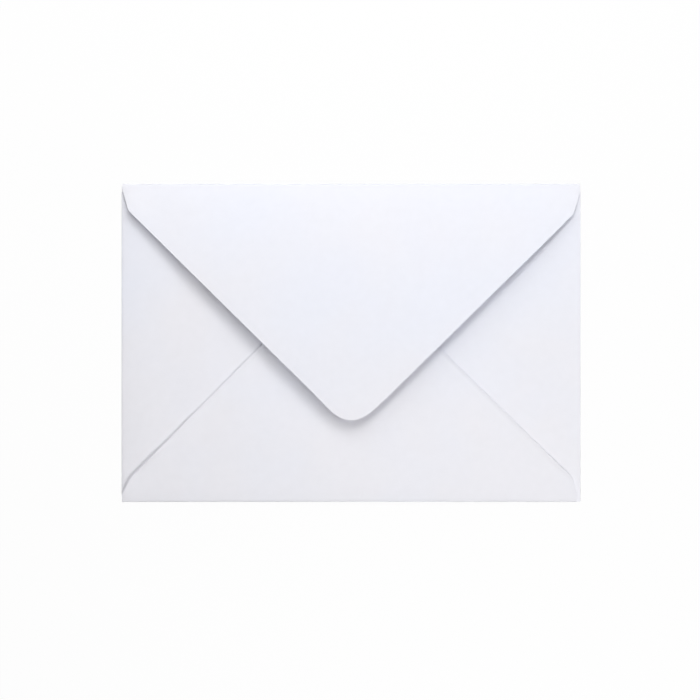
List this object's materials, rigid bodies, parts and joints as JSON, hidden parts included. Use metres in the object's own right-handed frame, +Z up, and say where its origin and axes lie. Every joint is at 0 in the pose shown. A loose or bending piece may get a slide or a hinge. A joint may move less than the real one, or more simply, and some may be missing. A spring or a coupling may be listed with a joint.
{
  "type": "paper envelope",
  "caption": "Empty white envelope folded from a die-cut sheet of paper, lying on its front, with its deep pointed flap folded down over the back and not stuck.",
  "frame": {"origin": "middle of the closed envelope's footprint, on the surface that its front panel lies on", "axes": "+Z up out of the back, the flap side; +X along the long edge; +Y towards the fold of the top flap, so the flap's tip points to -Y"},
  "size_m": [0.163, 0.113, 0.0058],
  "materials": {
    "paper": "smooth white wove paper, uncoated and matt, with a dried gum band on the underside of the top flap"
  },
  "bodies": {
    "root": {"folded_sheet": "paper"}
  },
  "joints": []
}
